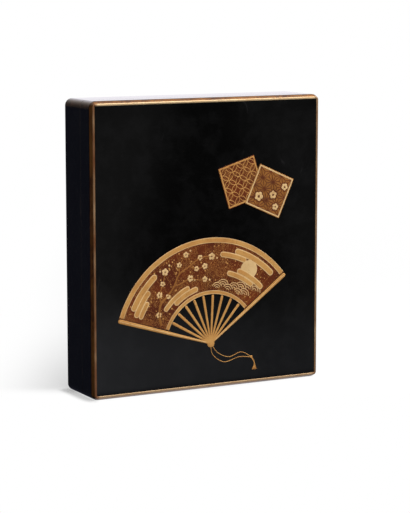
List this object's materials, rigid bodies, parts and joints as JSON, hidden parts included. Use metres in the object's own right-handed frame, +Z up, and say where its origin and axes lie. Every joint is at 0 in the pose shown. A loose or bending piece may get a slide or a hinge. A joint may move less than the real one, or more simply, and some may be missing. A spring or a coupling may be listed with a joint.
{
  "type": "lacquer writing box",
  "caption": "Shallow lacquer writing box standing on its end: flush lift-off lid with gilt bevel and raised picture; loose inkstone board, inkstone, water dropper and trays inside.",
  "frame": {"origin": "centre, seen from above, of the whole closed part, on the flat short end that it stands on", "axes": "+Z up along the long side of the box; the lid's face looks along -Y and lifts off that way; +Y out of the base board, the side the box lies on in use; +X to the right as seen from the lid's side"},
  "size_m": [0.215, 0.0512, 0.245],
  "materials": {
    "black_lacquer": "polished black lacquer over wood",
    "flecked_lacquer": "gold flakes in clear amber-brown lacquer over wood",
    "gold_lacquer": "gold powder on raised lacquer, satin",
    "red_brown_lacquer": "red-brown lacquer dusted with gold, satin",
    "ink_slate": "honed dark slate",
    "dropper_metal": "aged copper alloy, satin"
  },
  "bodies": {
    "box": {"base_board": "black_lacquer", "body_wall_left": "black_lacquer", "body_wall_right": "black_lacquer", "body_wall_top": "black_lacquer", "body_wall_bottom": "black_lacquer", "lip_left": "flecked_lacquer", "lip_right": "flecked_lacquer", "lip_top": "flecked_lacquer", "lip_bottom": "flecked_lacquer"},
    "lid": {"lid_board": "black_lacquer", "lid_wall_left": "black_lacquer", "lid_wall_right": "black_lacquer", "lid_wall_top": "black_lacquer", "lid_wall_bottom": "black_lacquer", "lid_gold_line": "gold_lacquer", "fan_leaf": "red_brown_lacquer", "fan_ribs": "gold_lacquer", "card_front": "gold_lacquer", "card_back": "red_brown_lacquer"},
    "ink_board": {"inkstone_board": "flecked_lacquer"},
    "stone": {"inkstone": "ink_slate"},
    "dropper": {"dropper_cup": "dropper_metal", "dropper_cover": "dropper_metal"},
    "left_tray": {"left_tray_floor": "flecked_lacquer", "left_tray_wall_left": "black_lacquer", "left_tray_wall_right": "black_lacquer", "left_tray_wall_top": "black_lacquer", "left_tray_wall_bottom": "black_lacquer"},
    "right_tray": {"right_tray_floor": "flecked_lacquer", "right_tray_wall_left": "black_lacquer", "right_tray_wall_right": "black_lacquer", "right_tray_wall_top": "black_lacquer", "right_tray_wall_bottom": "black_lacquer"}
  },
  "joints": [
    {"name": "lid_lift", "type": "slide", "parent": "box", "child": "lid", "axis": [0, -1, 0], "range_m": [0, 0.16]},
    {"name": "ink_board_lift", "type": "slide", "parent": "box", "child": "ink_board", "axis": [0, -1, 0], "range_m": [0, 0.08]},
    {"name": "stone_lift", "type": "slide", "parent": "ink_board", "child": "stone", "axis": [0, -1, 0], "range_m": [0, 0.032]},
    {"name": "dropper_lift", "type": "slide", "parent": "ink_board", "child": "dropper", "axis": [0, -1, 0], "range_m": [0, 0.024]},
    {"name": "left_tray_lift", "type": "slide", "parent": "box", "child": "left_tray", "axis": [0, -1, 0], "range_m": [0, 0.048]},
    {"name": "right_tray_lift", "type": "slide", "parent": "box", "child": "right_tray", "axis": [0, -1, 0], "range_m": [0, 0.048]}
  ],
  "couplings": [
    {"joint": "ink_board_lift", "follows": "lid_lift", "ratio": 0.5},
    {"joint": "stone_lift", "follows": "lid_lift", "ratio": 0.2},
    {"joint": "dropper_lift", "follows": "lid_lift", "ratio": 0.15},
    {"joint": "left_tray_lift", "follows": "lid_lift", "ratio": 0.3},
    {"joint": "right_tray_lift", "follows": "lid_lift", "ratio": 0.3}
  ]
}
